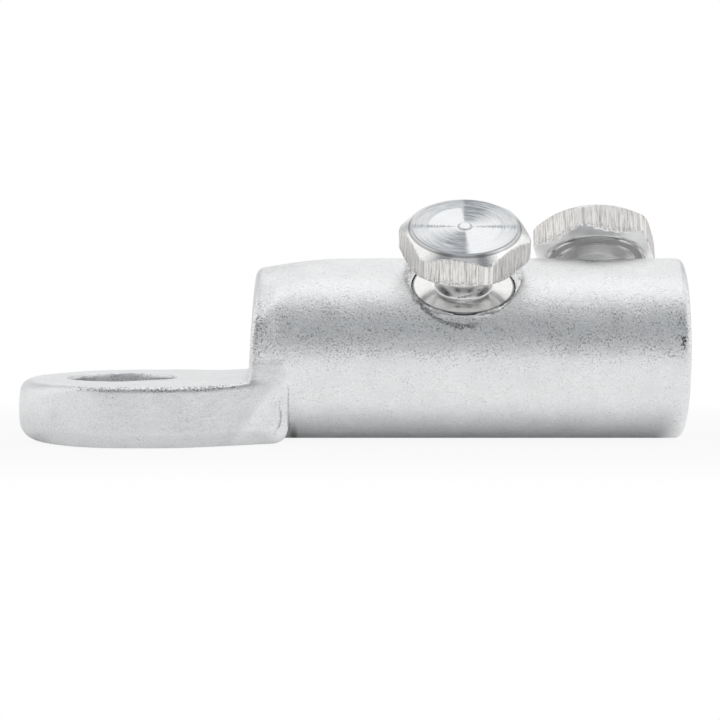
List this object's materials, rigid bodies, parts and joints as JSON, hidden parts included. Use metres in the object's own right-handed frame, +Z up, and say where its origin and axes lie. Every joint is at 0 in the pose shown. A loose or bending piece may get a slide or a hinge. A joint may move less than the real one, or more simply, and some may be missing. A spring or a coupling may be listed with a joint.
{
  "type": "mechanical cable lug",
  "caption": "Cable lug with a drilled flat palm, a round bored barrel and shear-head clamping bolts that lean to either side.",
  "frame": {"origin": "centre of the palm hole on the underside of the palm", "axes": "+X along the barrel towards the cable end, +Z up, square to the palm's contact face"},
  "size_m": [0.0918, 0.0332, 0.0331],
  "materials": {
    "tinned_body": "tumbled and tinned, finely pitted",
    "turned_bolt": "bright turned faces, drawn flats"
  },
  "bodies": {
    "lug_body": {"lug_body": "tinned_body"},
    "front_shear_bolt": {"front_shear_bolt": "turned_bolt"},
    "rear_shear_bolt": {"rear_shear_bolt": "turned_bolt"}
  },
  "joints": [
    {"name": "front_bolt_travel", "type": "slide", "parent": "lug_body", "child": "front_shear_bolt", "axis": [0, -0.5, 0.866], "range_m": [-0.0015, 0.0065]},
    {"name": "rear_bolt_travel", "type": "slide", "parent": "lug_body", "child": "rear_shear_bolt", "axis": [0, 0.5, 0.866], "range_m": [-0.0005, 0.0065]}
  ]
}
